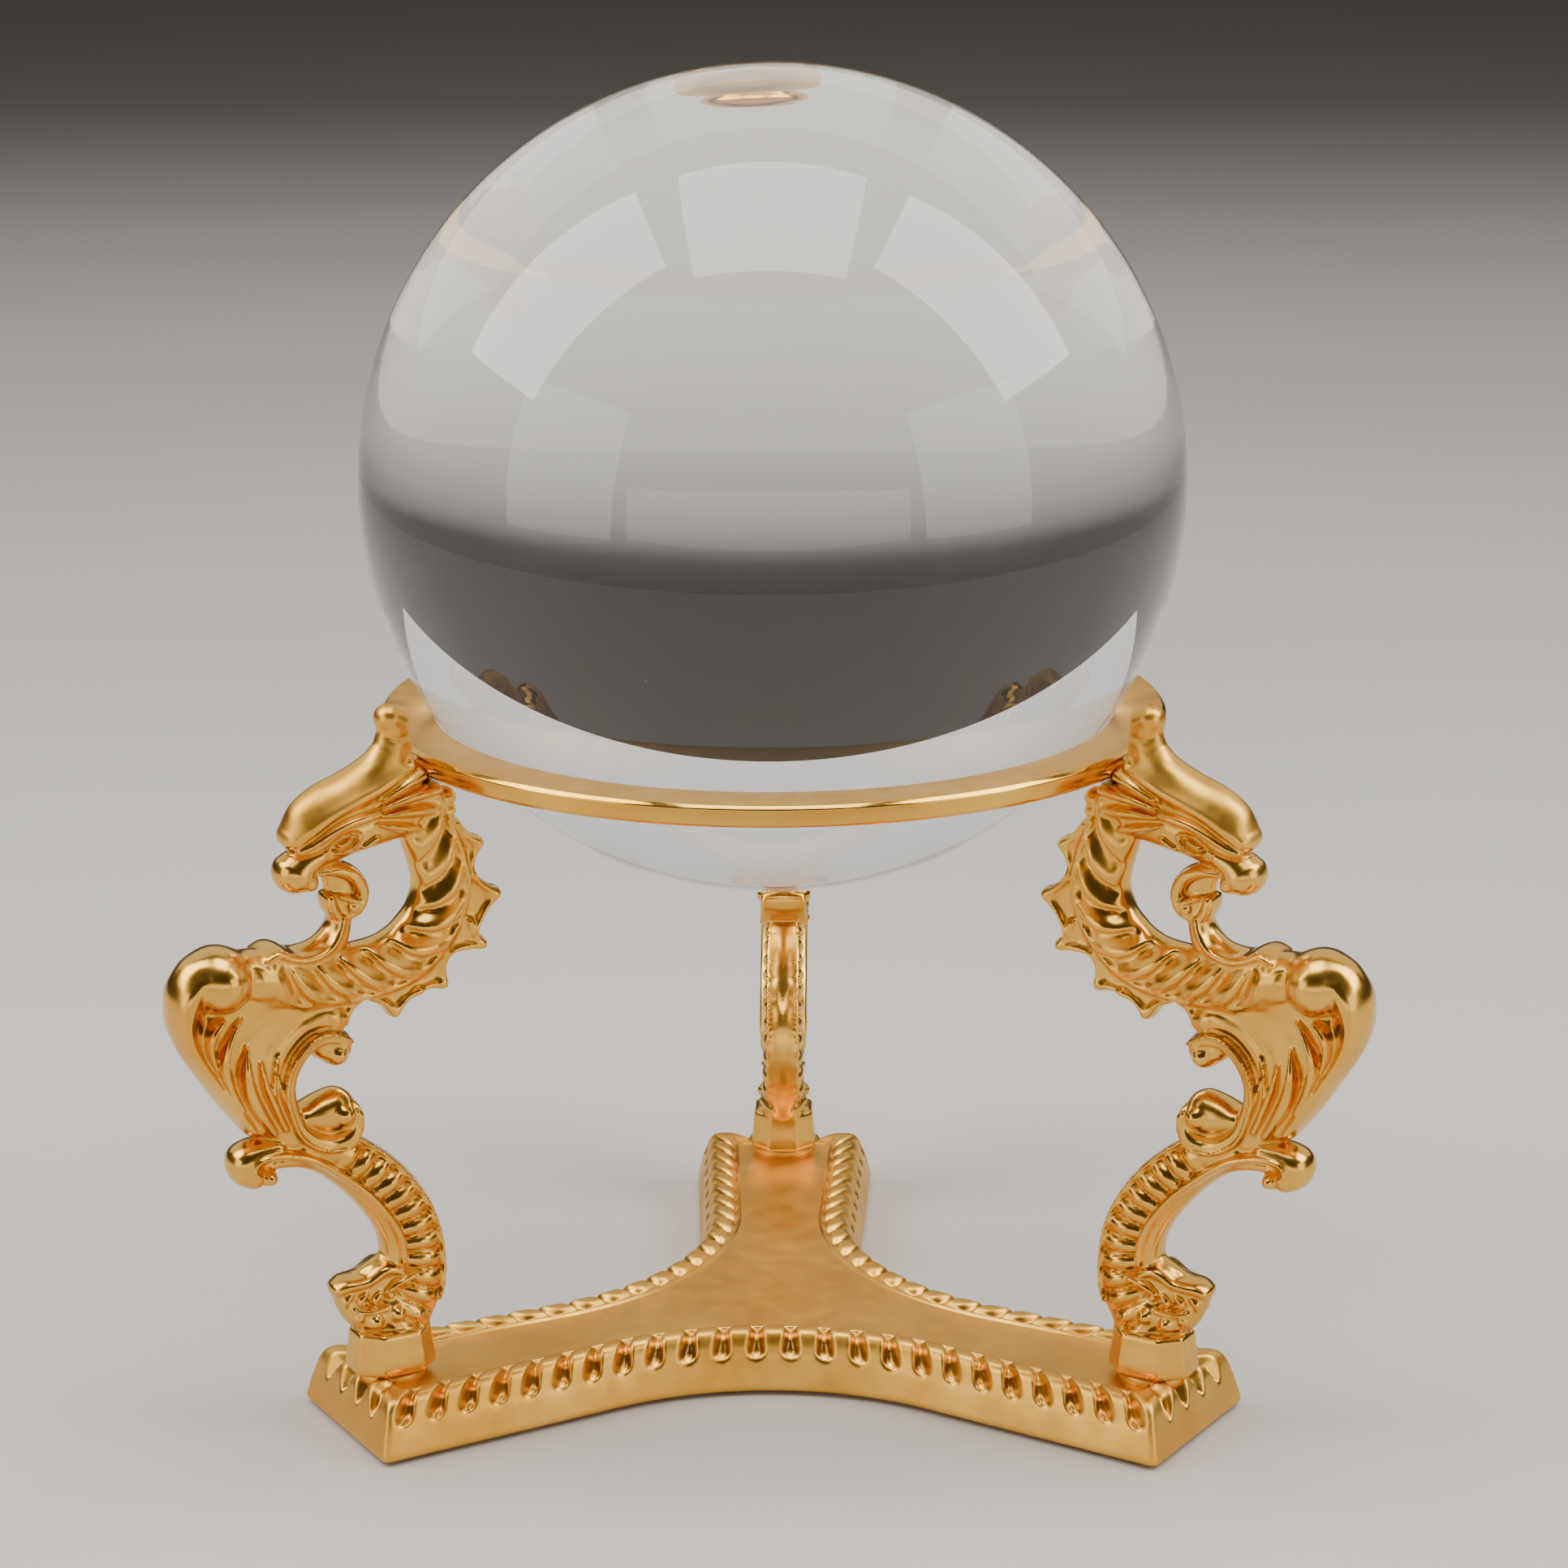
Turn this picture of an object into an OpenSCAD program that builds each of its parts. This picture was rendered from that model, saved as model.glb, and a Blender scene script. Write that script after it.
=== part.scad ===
// Glass ball on a cast stand: three dragon legs stand on a three-armed base and
// carry a flat ring, and the ball rests loose in the ring.
// The origin is on the stand's upright axis, on the surface that the stand rests on.

/* [Ball] */
// Diameter of the solid glass ball
ball_d = 110; // [100:1:116]
// Air left between the ball and its seat, so that the ball lifts off freely
ball_gap = 0.15; // [0.1:0.05:0.4]

/* [Ring] */
// Outer diameter of the ring
ring_outer_d = 105.6; // [104:0.2:108]
// Diameter of the hole that the ball sits in
ring_hole_d = 90.6; // [88:0.2:92]
// Thickness of the ring
ring_t = 2.9; // [2.4:0.1:3.6]
// Height of the ring's underside above the base's rim
ring_h = 89.1; // [88.6:0.1:89.6]
// Width of the bevel around the ring's top and bottom edges
ring_bevel = 0.5; // [0.2:0.1:0.8]

/* [Base] */
// Distance from the stand's axis to the straight end of each arm, at the rim
arm_reach = 65.9; // [64.5:0.1:68]
// Distance from the stand's axis to the middle of each hollow side, at the rim
side_reach = 19.4; // [18:0.2:22]
// Radius of the curve in the middle of each hollow side
side_curve_r = 38; // [32:1:44]
// Half the angle that this curve turns through before the side runs straight
side_half_angle = 32.5; // [30:0.5:35]
// How far the walls lean in from the rim to the border
wall_lean = 1.8; // [1:0.1:2.4]
// Height of the raised border
border_h = 7.9; // [7.4:0.1:8.4]
// Width of the raised border
border_w = 4.4; // [3.6:0.2:5]
// Height of the sunk top face that the legs stand on
base_top_h = 7; // [6.6:0.1:7.2]
// Thickness of the roof over the hollow underside
roof_t = 2.8; // [2.4:0.1:3.2]
// Thickness of the walls around the hollow underside
wall_t = 2.6; // [2.2:0.1:3.2]

/* [Dragon legs] */
// Distance from the stand's axis to the centre of each leg's foot
foot_reach = 58.8; // [58:0.1:59.6]
// Thickness of the tail
tail_t = 6.2; // [5:0.2:7]
// Thickness of the neck, the head and the scrolls
neck_t = 8; // [7:0.2:9]
// Thickness of the shoulder
shoulder_t = 11; // [9:0.5:12]
// Thickness of the spikes, the horn and the tongue
spike_t = 3.6; // [2.8:0.2:4.4]

/* [Fixings] */
// Diameter of the screw that holds each leg
screw_d = 4; // [3.6:0.1:4.4]
// Length of that screw under its head
screw_len = 9; // [8:0.5:10]
// Diameter of the pin between each leg and the ring
pin_d = 2; // [1.6:0.1:2.4]
// Length of that pin
pin_len = 5.5; // [4.5:0.5:6.5]
// Diameter of each rubber pad
pad_d = 10; // [8:0.5:11]
// Thickness of each rubber pad, which lifts the rim off the surface
pad_t = 0.5; // [0.5:0.1:1]

/* [Hidden] */
$fn = 96;
eps = 0.01;
tall = 60;                      // longer than anything that is cut through

ball_r = ball_d / 2;
seat_r = ring_hole_d / 2 + 0.4;             // the ball bears just inside the hole's top edge
seat_z = ring_h + ring_t - 0.3;
ball_z = seat_z + sqrt(pow(ball_r + ball_gap, 2) - pow(seat_r, 2));
azimuths = [90, 210, 330];      // one leg behind and one on each side in front

roof_z = base_top_h - roof_t;
screw_clear = 0.3;              // radial air around the screw in the base
tap_gap = 0.02;                 // radial air that stands for the thread
washer_t = 0.9;
washer_r = 3.6;
head_h = 2.3;
head_r = 3.5;
foot_seat_r = 4.6;              // round seat that brings the sunk face up to the border
pad_reach = 46;                 // from the stand's axis to each pad
pad_wall = 0.8;                 // casting left around a pad
pin_reach = 50.6;
pin_in_ring = 1.9;

// ---- small geometry helpers ----

function turned(angle) = [cos(angle), sin(angle)];

// One point of a smooth curve through p1 and p2, with p0 and p3 as its neighbours
function between(p0, p1, p2, p3, t) =
    0.5 * (2 * p1 + (p2 - p0) * t
           + (2 * p0 - 5 * p1 + 4 * p2 - p3) * t * t
           + (3 * p1 - 3 * p2 + p3 - p0) * t * t * t);

// A list of [out, up, half width] points made smooth, in steps of 1 / n
function smooth(p, n = 4) =
    let (last = len(p) - 1)
    [for (i = [0 : last - 1], k = [0 : n - 1])
        between(p[max(i - 1, 0)], p[i], p[i + 1], p[min(i + 2, last)], k / n),
     p[last]];

// The unit direction along a smoothed list at its point i
function along(p, i) =
    let (a = p[max(i - 1, 0)], b = p[min(i + 1, len(p) - 1)],
         d = [b[0] - a[0], b[1] - a[1]])
    d / norm(d);

// Half a turn of points around an end of a strip, from the angle start
function round_end(p, start) =
    [for (a = [start + 30 : 30 : start + 150]) [p[0] + p[2] * cos(a), p[1] + p[2] * sin(a)]];

// A strip of changing width with round ends, drawn flat as one outline
module strip(points) {
    p = smooth(points);
    last = len(p) - 1;
    first_dir = along(p, 0);
    last_dir = along(p, last);
    left = [for (i = [last : -1 : 0])
        let (d = along(p, i)) [p[i][0] - d[1] * p[i][2], p[i][1] + d[0] * p[i][2]]];
    right = [for (i = [0 : last])
        let (d = along(p, i)) [p[i][0] + d[1] * p[i][2], p[i][1] - d[0] * p[i][2]]];
    polygon(concat(left, round_end(p[0], atan2(first_dir[1], first_dir[0]) + 90),
                   right, round_end(p[last], atan2(last_dir[1], last_dir[0]) - 90)));
}

// Stands a flat drawing of [out, up] on edge in the leg's upright plane
module on_edge(thickness) {
    rotate([90, 0, 0]) linear_extrude(height = thickness, center = true) children();
}

// Places a piece that is modelled along +X on leg i's azimuth, above the pads
module at_leg(i) {
    rotate([0, 0, azimuths[i]]) translate([0, 0, pad_t]) children();
}

// ---- base ----

// Right half of one hollow side, facing -Y and moved inwards by inset
function half_side(inset) =
    let (centre_y = -(side_reach + side_curve_r),
         r = side_curve_r + inset,
         turn = [sin(side_half_angle), cos(side_half_angle)],
         tangent = [r * turn[0], centre_y + r * turn[1]],
         run = [turn[1], -turn[0]],
         arm = turned(-30),
         reach = (arm_reach - inset - tangent * arm) / (run * arm))
    concat([for (a = [0 : side_half_angle / 6 : side_half_angle])
                [r * sin(a), centre_y + r * cos(a)]],
           [tangent + reach * run]);

function mirrored(p) = [for (i = [len(p) - 1 : -1 : 1]) [-p[i][0], p[i][1]]];

function spun(p, a) =
    [for (q = p) [q[0] * cos(a) - q[1] * sin(a), q[0] * sin(a) + q[1] * cos(a)]];

// The whole outline of the base: three hollow sides and three straight arm ends
function base_outline(inset) =
    let (side = concat(mirrored(half_side(inset)), half_side(inset)))
    concat(side, spun(side, 120), spun(side, 240));

// The outer shape, leaning in evenly from the rim to height h
module leaning_block(h, lean) {
    low = base_outline(0);
    high = base_outline(lean);
    n = len(low);
    points = concat([for (p = low) [p[0], p[1], 0]],
                    [for (p = high) [p[0], p[1], h]],
                    [[0, 0, 0], [0, 0, h]]);
    polyhedron(points, [
        for (i = [0 : n - 1]) let (j = (i + 1) % n) each [
            [i, n + j, j], [i, n + i, n + j],
            [2 * n, i, j], [2 * n + 1, n + j, n + i]]]);
}

module base_plate() {
    land = 0.4;                 // upright foot of the wall
    border_inner = wall_lean + border_w;
    color("goldenrod") translate([0, 0, pad_t]) difference() {
        union() {
            linear_extrude(height = land + eps) polygon(base_outline(0));
            translate([0, 0, land]) leaning_block(border_h - land, wall_lean);
        }
        // the sunk face, which leaves a round seat standing under each foot
        difference() {
            translate([0, 0, base_top_h])
                linear_extrude(height = tall) polygon(base_outline(border_inner));
            for (a = azimuths) rotate([0, 0, a]) translate([foot_reach, 0, base_top_h - 1])
                cylinder(r = foot_seat_r, h = tall + 2);
        }
        difference() {
            translate([0, 0, -eps]) linear_extrude(height = roof_z + eps)
                polygon(base_outline(wall_t));
            for (a = azimuths) rotate([0, 0, a]) translate([pad_reach, 0, -1])
                cylinder(r = pad_d / 2 + pad_wall, h = tall);
        }
        for (a = azimuths) rotate([0, 0, a]) translate([foot_reach, 0, -1])
            cylinder(r = screw_d / 2 + screw_clear, h = tall);
    }
}

// ---- ring ----

module support_ring() {
    inner = ring_hole_d / 2;
    outer = ring_outer_d / 2;
    b = ring_bevel;
    low = ring_h + pad_t;
    top = low + ring_t;
    color("gold") difference() {
        rotate_extrude($fn = 180) polygon([
            [inner, low], [outer - b, low], [outer, low + b],
            [outer, top - b], [outer - b, top], [inner, top]]);
        translate([0, 0, ball_z + pad_t]) sphere(r = ball_r + ball_gap, $fn = 180);
        for (i = [0 : 2]) at_leg(i) translate([pin_reach, 0, ring_h - 1])
            cylinder(r = pin_d / 2 + tap_gap, h = pin_in_ring + 1.1);
    }
}

// ---- dragon leg, drawn as [out from the axis, up from the rim, half width] ----

crest = [[56.6, 96.9, 2], [55.6, 93.6, 2.2], [57.2, 91.2, 2.5], [60, 89.2, 2.3],
         [64, 87.5, 2.4], [67.5, 85.8, 2.7], [70.2, 83.2, 2], [71, 82, 1.2]];
face = [[53.6, 85.4, 3.8], [59, 83.6, 3.2], [64.4, 81.6, 2.4], [68.6, 79.6, 2],
        [70.6, 77.9, 2.6]];
mane = [[50.8, 86.8, 2.6], [54.6, 87.4, 2.8], [58.6, 86.6, 2.6], [62.6, 84.8, 2]];
jaw = [[66.6, 78.6, 1], [63.6, 78.1, 1.3], [61.6, 75.8, 1.2], [62, 73, 1.3],
       [64.6, 72.2, 1.6]];
tongue = [[65, 73, 1.3], [64.9, 70.6, 1.5], [65.8, 68.4, 1.8], [68, 66.8, 2]];
neck = [[52.6, 84.4, 3.8], [50.8, 80, 4], [49.8, 75.6, 3.9], [50.6, 70.8, 4],
        [53, 66.6, 4.1], [57.2, 64.1, 3.9], [62, 63.4, 3.9], [67.4, 63.4, 3.9],
        [72.6, 64.4, 3.9], [78, 65.4, 4]];
shoulder = [[82.3, 64, 5.8], [83, 59.4, 4.8], [81.7, 54, 4], [79.2, 49, 3.2],
            [76.4, 44.2, 2.2]];
chest = [[71, 60.6, 3.2], [75.4, 57.6, 4], [76.6, 52, 3.8], [75.4, 47, 3.2],
         [72, 43, 2.2]];
scroll = [[65.6, 55.4, 1.6], [68, 56.2, 1.4], [70.9, 54.8, 1.4], [72.6, 51.6, 1.4],
          [72.8, 48.4, 1.4], [71.4, 44.8, 1.4], [68.6, 42.6, 1.4], [65.6, 42.6, 1.6]];
tail = [[79, 40.9, 2.1], [74.6, 40.8, 2], [70, 40.2, 2.2], [66, 39, 2.8],
        [61.9, 36.4, 3.5], [58.6, 32.8, 3.8], [56.6, 28.6, 4], [55.5, 24, 4.2],
        [55.4, 19.6, 4.1], [57, 15.6, 3.8], [58.8, 12.8, 3.8]];
fin = [[58.6, 19.8, 3], [62.4, 19, 2.6], [66, 20.3, 1.5]];
fin_root = [[60, 15.8, 3.2], [63.6, 17.6, 2.2]];
back_curl = [[79, 40.4, 2.4], [77.8, 38.4, 2.1]];
curls = [[65.8, 54, 2.4], [66, 45.1, 3.3], [48.8, 85.6, 1.6]];

// Spikes along the neck: base centre, tip, and half the base's length
spikes = [[[48.4, 81.8], [44.2, 79], 2.4], [[47, 73.4], [41.9, 71.8], 2.5],
          [[48.4, 67.6], [43.9, 64.7], 2.2], [[52.4, 62.6], [50, 60.1], 2.2],
          [[57.8, 60.8], [57.2, 57.1], 2.5], [[65.2, 60.4], [64.5, 57.4], 2]];

module spike_outline(s) {
    d = (s[1] - s[0]) / norm(s[1] - s[0]);
    side = [-d[1], d[0]] * s[2];
    polygon([s[0] - d + side, s[1] + side * 0.12, s[1] - side * 0.12, s[0] - d - side]);
}

// The foot is an eight-sided block, longer outwards than across
module foot_block(half_out, half_across, low, high) {
    cut = 2.4;
    translate([foot_reach, 0, low]) linear_extrude(height = high - low) polygon([
        [half_out, half_across - cut], [half_out - cut, half_across],
        [cut - half_out, half_across], [-half_out, half_across - cut],
        [-half_out, cut - half_across], [cut - half_out, -half_across],
        [half_out - cut, -half_across], [half_out, cut - half_across]]);
}

module dragon_leg(i) {
    foot_top = 14;
    color("gold") at_leg(i) difference() {
        union() {
            on_edge(tail_t) {
                strip(tail);
                strip(fin);
                strip(fin_root);
                strip(back_curl);
            }
            on_edge(neck_t) {
                strip(crest);
                strip(face);
                strip(mane);
                strip(neck);
                strip(chest);
                strip(scroll);
                for (c = curls) translate([c[0], c[1]]) circle(r = c[2], $fn = 32);
            }
            on_edge(shoulder_t) strip(shoulder);
            on_edge(spike_t) {
                strip(jaw);
                strip(tongue);
                for (s = spikes) spike_outline(s);
            }
            foot_block(5.8, 4.8, border_h, border_h + 2.6);
            foot_block(5.4, 4.4, border_h + 2, foot_top);
        }
        // the shelf under the ring and the upright step behind the ring's edge
        translate([0, 0, ring_h]) cylinder(r = ring_outer_d / 2, h = tall, $fn = 180);
        translate([pin_reach, 0, ring_h - pin_len + pin_in_ring])
            cylinder(r = pin_d / 2 + tap_gap, h = tall);
        translate([foot_reach, 0, base_top_h - 1])
            cylinder(r = screw_d / 2 + tap_gap, h = screw_len - roof_t - washer_t + 1.5);
    }
}

// ---- fixings ----

module leg_screw(i) {
    head_z = roof_z - washer_t - head_h;
    slot_w = 1;
    color("silver") at_leg(i) translate([foot_reach, 0, head_z]) difference() {
        union() {
            cylinder(r1 = head_r - 0.5, r2 = head_r, h = 0.8);
            translate([0, 0, 0.8]) cylinder(r = head_r, h = head_h - 0.8);
            translate([0, 0, head_h]) cylinder(r = screw_d / 2, h = screw_len);
        }
        for (turn = [0, 90]) rotate([0, 0, turn])
            cube([3.6, slot_w, 2.4], center = true);
    }
}

module lock_washer(i) {
    gap_angle = 8;
    color("silver") at_leg(i) translate([foot_reach, 0, roof_z - washer_t])
        rotate_extrude(angle = 360 - gap_angle)
            translate([screw_d / 2 + 0.2, 0]) square([washer_r - screw_d / 2 - 0.2, washer_t]);
}

module ring_pin(i) {
    color("silver") at_leg(i) translate([pin_reach, 0, ring_h - pin_len + pin_in_ring])
        cylinder(r = pin_d / 2, h = pin_len);
}

module rubber_pad(i) {
    color("dimgray") at_leg(i) translate([pad_reach, 0, -pad_t])
        cylinder(r = pad_d / 2, h = pad_t);
}

// ---- ball ----

module crystal_ball() {
    color("lightcyan", 0.4) translate([0, 0, ball_z + pad_t]) sphere(r = ball_r, $fn = 180);
}

crystal_ball();
support_ring();
base_plate();
dragon_leg(0);  // dragon_leg_1
dragon_leg(1);  // dragon_leg_2
dragon_leg(2);  // dragon_leg_3
leg_screw(0);  // leg_screw_1
leg_screw(1);  // leg_screw_2
leg_screw(2);  // leg_screw_3
lock_washer(0);  // lock_washer_1
lock_washer(1);  // lock_washer_2
lock_washer(2);  // lock_washer_3
ring_pin(0);  // ring_pin_1
ring_pin(1);  // ring_pin_2
ring_pin(2);  // ring_pin_3
rubber_pad(0);  // rubber_pad_1
rubber_pad(1);  // rubber_pad_2
rubber_pad(2);  // rubber_pad_3
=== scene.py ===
import math

import bpy
import numpy as np
from mathutils import Matrix, Vector


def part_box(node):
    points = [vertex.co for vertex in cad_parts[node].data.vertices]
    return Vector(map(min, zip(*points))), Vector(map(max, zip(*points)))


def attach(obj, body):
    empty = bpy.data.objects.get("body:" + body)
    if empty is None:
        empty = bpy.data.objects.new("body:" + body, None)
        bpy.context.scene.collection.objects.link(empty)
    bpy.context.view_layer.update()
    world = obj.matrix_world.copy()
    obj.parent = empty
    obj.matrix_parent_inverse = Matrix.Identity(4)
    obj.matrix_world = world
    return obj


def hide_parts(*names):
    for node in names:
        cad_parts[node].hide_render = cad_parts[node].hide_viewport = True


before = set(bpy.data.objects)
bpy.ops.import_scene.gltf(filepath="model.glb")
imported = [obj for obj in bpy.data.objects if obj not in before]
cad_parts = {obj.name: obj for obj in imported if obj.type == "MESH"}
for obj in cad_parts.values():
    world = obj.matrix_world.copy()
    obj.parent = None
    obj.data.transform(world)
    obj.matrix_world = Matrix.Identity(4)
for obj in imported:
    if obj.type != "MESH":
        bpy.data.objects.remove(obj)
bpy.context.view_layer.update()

scene = bpy.context.scene
MM = 0.001                      # sizes below are in millimetres, meshes in metres

# ---- The room it is shown in ----
# A pale painted table top in a studio: a wide lit panel behind, a soft box overhead, one high
# on each side, one at each front corner, and a low fill from the front. The camera looks down
# a little from the front, and stands close enough for some perspective.

CAMERA_TARGET = (0.0, 0.0, 80.97)
CAMERA_DISTANCE = 610.0
CAMERA_PITCH = math.radians(15.286)
CAMERA_YAW = math.radians(1.111)
CAMERA_ROLL = math.radians(-0.199)
CAMERA_ASIDE = 1.36
LENS_MM = 103.31


def linear(hex_colour):
    """The linear RGBA of an sRGB hex colour such as "d8a040"."""
    c = np.array([int(hex_colour[i:i + 2], 16) for i in (0, 2, 4)]) / 255.0
    c = np.where(c <= 0.04045, c / 12.92, ((c + 0.055) / 1.055) ** 2.4)
    return (*c, 1.0)


def node(tree, kind, settings=None, plugs=(), **links):
    """Adds a shader node. settings sets its properties and plain socket values by name, plugs
    gives its first inputs in order an output socket or a number each, and links joins its
    inputs, named with _ for a space, to output sockets."""
    made = tree.nodes.new(kind)
    for key, value in (settings or {}).items():
        if key in made.inputs:
            made.inputs[key].default_value = value
        else:
            setattr(made, key, value)
    for socket, plug in zip(made.inputs, plugs):
        if isinstance(plug, float):
            socket.default_value = plug
        else:
            tree.links.new(plug, socket)
    for key, socket in links.items():
        tree.links.new(socket, made.inputs[key.replace("_", " ")])
    return made


def material(name):
    """A new material, its empty node tree, and the socket of its place on the object."""
    made = bpy.data.materials.new(name)
    made.use_nodes = True
    tree = made.node_tree
    tree.nodes.clear()
    return made, tree, node(tree, "ShaderNodeTexCoord").outputs["Object"]


def noise(tree, place, scale, detail=2.0):
    """A noise pattern of about scale patches to the metre."""
    made = node(tree, "ShaderNodeTexNoise", {"Scale": scale, "Detail": detail}, Vector=place)
    return made.outputs["Fac"]


def two_tones(tree, amount, first, second, low=0.0, high=1.0):
    """A colour that runs from one hex colour to another as amount goes from low to high."""
    ramp = node(tree, "ShaderNodeValToRGB", Fac=amount)
    for stop, at, colour in zip(ramp.color_ramp.elements, (low, high), (first, second)):
        stop.position = at
        stop.color = linear(colour)
    return ramp.outputs["Color"]


def spread(tree, value, low, high, to_low, to_high):
    """A value that runs from to_low to to_high as the one given goes from low to high."""
    made = node(tree, "ShaderNodeMapRange", {"From Min": low, "From Max": high,
                                             "To Min": to_low, "To Max": to_high}, Value=value)
    return made.outputs["Result"]


def surface(tree, settings, **links):
    """Ends a material with its surface shader."""
    bsdf = node(tree, "ShaderNodeBsdfPrincipled", settings, **links)
    node(tree, "ShaderNodeOutputMaterial", Surface=bsdf.outputs["BSDF"])


def mesh_object(name, points, faces, made_material, smooth=True):
    """A mesh object from an (n, 3) array in mm and a list of faces, or an array of them."""
    data = bpy.data.meshes.new(name)
    if isinstance(faces, np.ndarray):
        faces = faces.tolist()
    data.from_pydata((np.asarray(points) * MM).tolist(), [], faces)
    data.validate()
    if smooth:
        data.shade_smooth()
    data.materials.append(made_material)
    made = bpy.data.objects.new(name, data)
    scene.collection.objects.link(made)
    return made


yaw_back = Vector((math.sin(CAMERA_YAW) * math.cos(CAMERA_PITCH),
                   -math.cos(CAMERA_YAW) * math.cos(CAMERA_PITCH),
                   math.sin(CAMERA_PITCH)))
camera = bpy.data.objects.new("camera", bpy.data.cameras.new("camera"))
scene.collection.objects.link(camera)
camera.data.lens = LENS_MM
camera.data.sensor_width = 36.0
turn = yaw_back.to_track_quat("Z", "Y")
right = turn @ Vector((1, 0, 0))
camera.rotation_mode = "QUATERNION"
camera.rotation_quaternion = turn @ Matrix.Rotation(CAMERA_ROLL, 3, "Z").to_quaternion()
camera.location = (Vector(CAMERA_TARGET) + yaw_back * CAMERA_DISTANCE + right * CAMERA_ASIDE) * MM
camera.data.clip_start = 0.01
camera.data.clip_end = 20
scene.camera = camera


def soft_box(name, place, aim, size, watts, colour="ffffff"):
    """A rectangular area light at place, facing aim, both in mm; size is (width, height)."""
    lamp = bpy.data.lights.new(name, "AREA")
    lamp.shape = "RECTANGLE"
    lamp.size, lamp.size_y = size[0] * MM, size[1] * MM
    lamp.energy = watts
    lamp.color = linear(colour)[:3]
    made = bpy.data.objects.new(name, lamp)
    made.location = Vector(place) * MM
    made.rotation_mode = "QUATERNION"
    made.rotation_quaternion = (Vector(aim) - Vector(place)).to_track_quat("-Z", "Y")
    scene.collection.objects.link(made)


soft_box("back panel", (0, 820, 760), (0, 40, 60), (3000, 860), 7.0, "fffdfa")
soft_box("overhead box", (0, -60, 760), (0, 0, 60), (420, 420), 3.0, "fffaf4")
soft_box("front fill", (0, -980, 100), (0, 0, 90), (1500, 330), 2.4, "fff6ec")
soft_box("left front box", (-880, -560, 300), (0, 0, 90), (620, 620), 2.4, "fff8f0")
soft_box("right front box", (880, -560, 300), (0, 0, 90), (620, 620), 2.4, "fff8f0")
soft_box("left box", (-520, -40, 610), (0, 0, 110), (380, 560), 4.4, "fff8f2")
soft_box("right box", (520, -40, 610), (0, 0, 110), (380, 560), 4.4, "fff8f2")

world = bpy.data.worlds.new("studio")
world.use_nodes = True
world.node_tree.nodes["Background"].inputs["Color"].default_value = linear("a09890")
world.node_tree.nodes["Background"].inputs["Strength"].default_value = 0.16
scene.world = world

# Painted board: matt, with a faint mottle of about 10 cm
paint, tree, place = material("painted board")
mottle = noise(tree, place, 9.0, 3.0)
surface(tree, {"Roughness": 0.55}, Base_Color=two_tones(tree, mottle, "c9c8c6", "d0cfcd"))
half = 4000.0
floor = mesh_object("floor", [(-half, -half, 0), (half, -half, 0), (half, half, 0),
                              (-half, half, 0)], [(0, 1, 2, 3)], paint, smooth=False)

# ---- Rubber pads: three thin discs under the base ----
# Pressed or cut nitrile rubber, matt black, glued into the base's bosses. They lift the rim
# half a millimetre off the table, which shows as a dark line under it.

PAD_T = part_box("rubber_pad_1")[1].z / MM


def dress(name, made_material):
    """Puts a material on a piece that keeps the CAD's own shape."""
    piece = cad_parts[name]
    piece.data.materials.clear()
    piece.data.materials.append(made_material)


# Moulded rubber is dull and slightly cloudy, with a fine pebble of about 0.3 mm
rubber, tree, place = material("moulded nitrile rubber")
shade = two_tones(tree, noise(tree, place, 400.0), "161616", "242322")
pebble = node(tree, "ShaderNodeBump", {"Strength": 0.4, "Distance": 0.05 * MM},
              Height=noise(tree, place, 3300.0))
surface(tree, {"Roughness": 0.75, "IOR": 1.52}, Base_Color=shade, Normal=pebble.outputs["Normal"])
for i in (1, 2, 3):
    dress(f"rubber_pad_{i}", rubber)

# ---- Base: one gold-plated casting with three arms ----
# Cast brass, polished and gold plated. The sunk top and the tops of the border's lobes are
# left satin; the grooves between the lobes and the edges are bright.

ARM_REACH = 65.9                # axis to the straight end of an arm
SIDE_REACH = 19.4               # axis to the middle of a hollow side
SIDE_CURVE = 38.0
SIDE_HALF_ANGLE = math.radians(32.5)
ROOF_Z = 4.2                    # flat inner face of the hollow underside
WALL = 2.6
SUNK_Z = 7.0                    # the face that the legs stand on
LOBES = 24                      # along each hollow side
LOBE_PITCH = 4.94
NOTCHES = 4                     # across each arm's end
NOTCH_PITCH = 4.55
LOBE_COLUMNS = 16               # columns of points to each lobe, and to each notch
NOTCH_COLUMNS = 14
CORNER_PASSES = 12              # how many times the upright corners are eased
FOOT_REACH = 58.8
FOOT_SEAT = (4.6, 7.9)          # radius and top of the round seat under each leg
PAD_REACH = 46.0
BOSS_R = 5.8                    # radius of the boss that holds each pad
BITE = 0.3                      # how far a seat or boss goes into the casting
AZIMUTHS = [math.radians(a) for a in (90, 210, 330)]

# The outside from the rim up over a lobe and down to the sunk face: [inset, height]
LOBE_LINE = [[0.7, 0], [0.3, 0.05], [0.08, 0.22], [0, 0.6], [0.2, 1.6], [0.42, 2.6],
             [0.62, 3.4], [0.8, 4.1], [0.95, 4.6], [1.08, 5.1], [1.24, 5.6], [1.42, 6.15],
             [1.66, 6.65], [1.98, 7.15], [2.4, 7.58], [2.85, 7.82], [3.35, 7.9], [3.8, 7.9],
             [4.25, 7.9], [4.65, 7.86], [5, 7.72], [5.25, 7.5], [5.48, 7.34], [5.78, 7.3],
             [6.1, 7.0]]
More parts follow.
